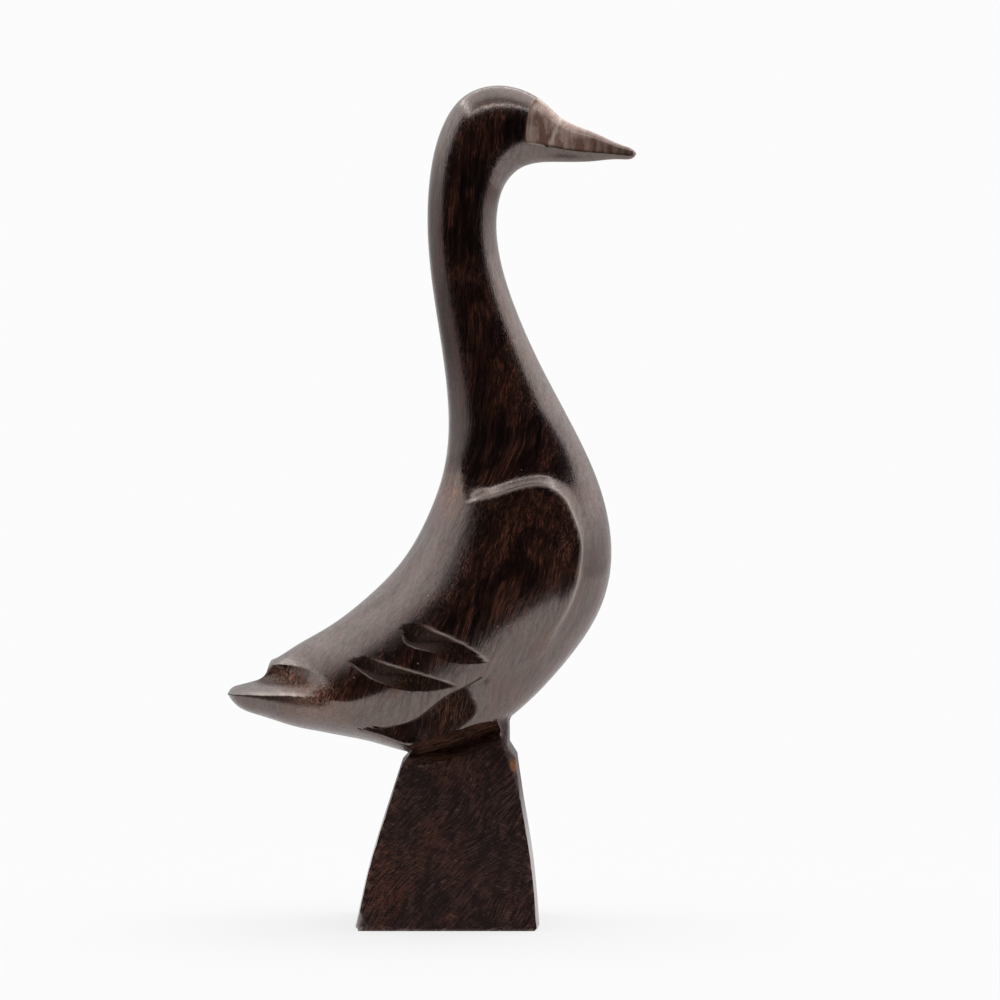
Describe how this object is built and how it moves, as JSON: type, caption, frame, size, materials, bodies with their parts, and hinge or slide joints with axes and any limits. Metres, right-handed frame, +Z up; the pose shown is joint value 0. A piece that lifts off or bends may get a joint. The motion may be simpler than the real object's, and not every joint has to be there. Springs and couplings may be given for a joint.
{
  "type": "goose figurine",
  "caption": "Carved hardwood goose with an upright neck, folded wings and a pointed tail, standing in one piece on a rough tapered block that rests flat on a shelf.",
  "frame": {"origin": "centre of the block's flat foot, on the shelf", "axes": "+Z up through the neck to the crown, +X the way the bill points, +Y to the goose's left side"},
  "size_m": [0.1448, 0.0568, 0.2959],
  "materials": {
    "ironwood": "polished on the goose, sawn and rasped on the block"
  },
  "bodies": {
    "root": {"goose": "ironwood"}
  },
  "joints": []
}
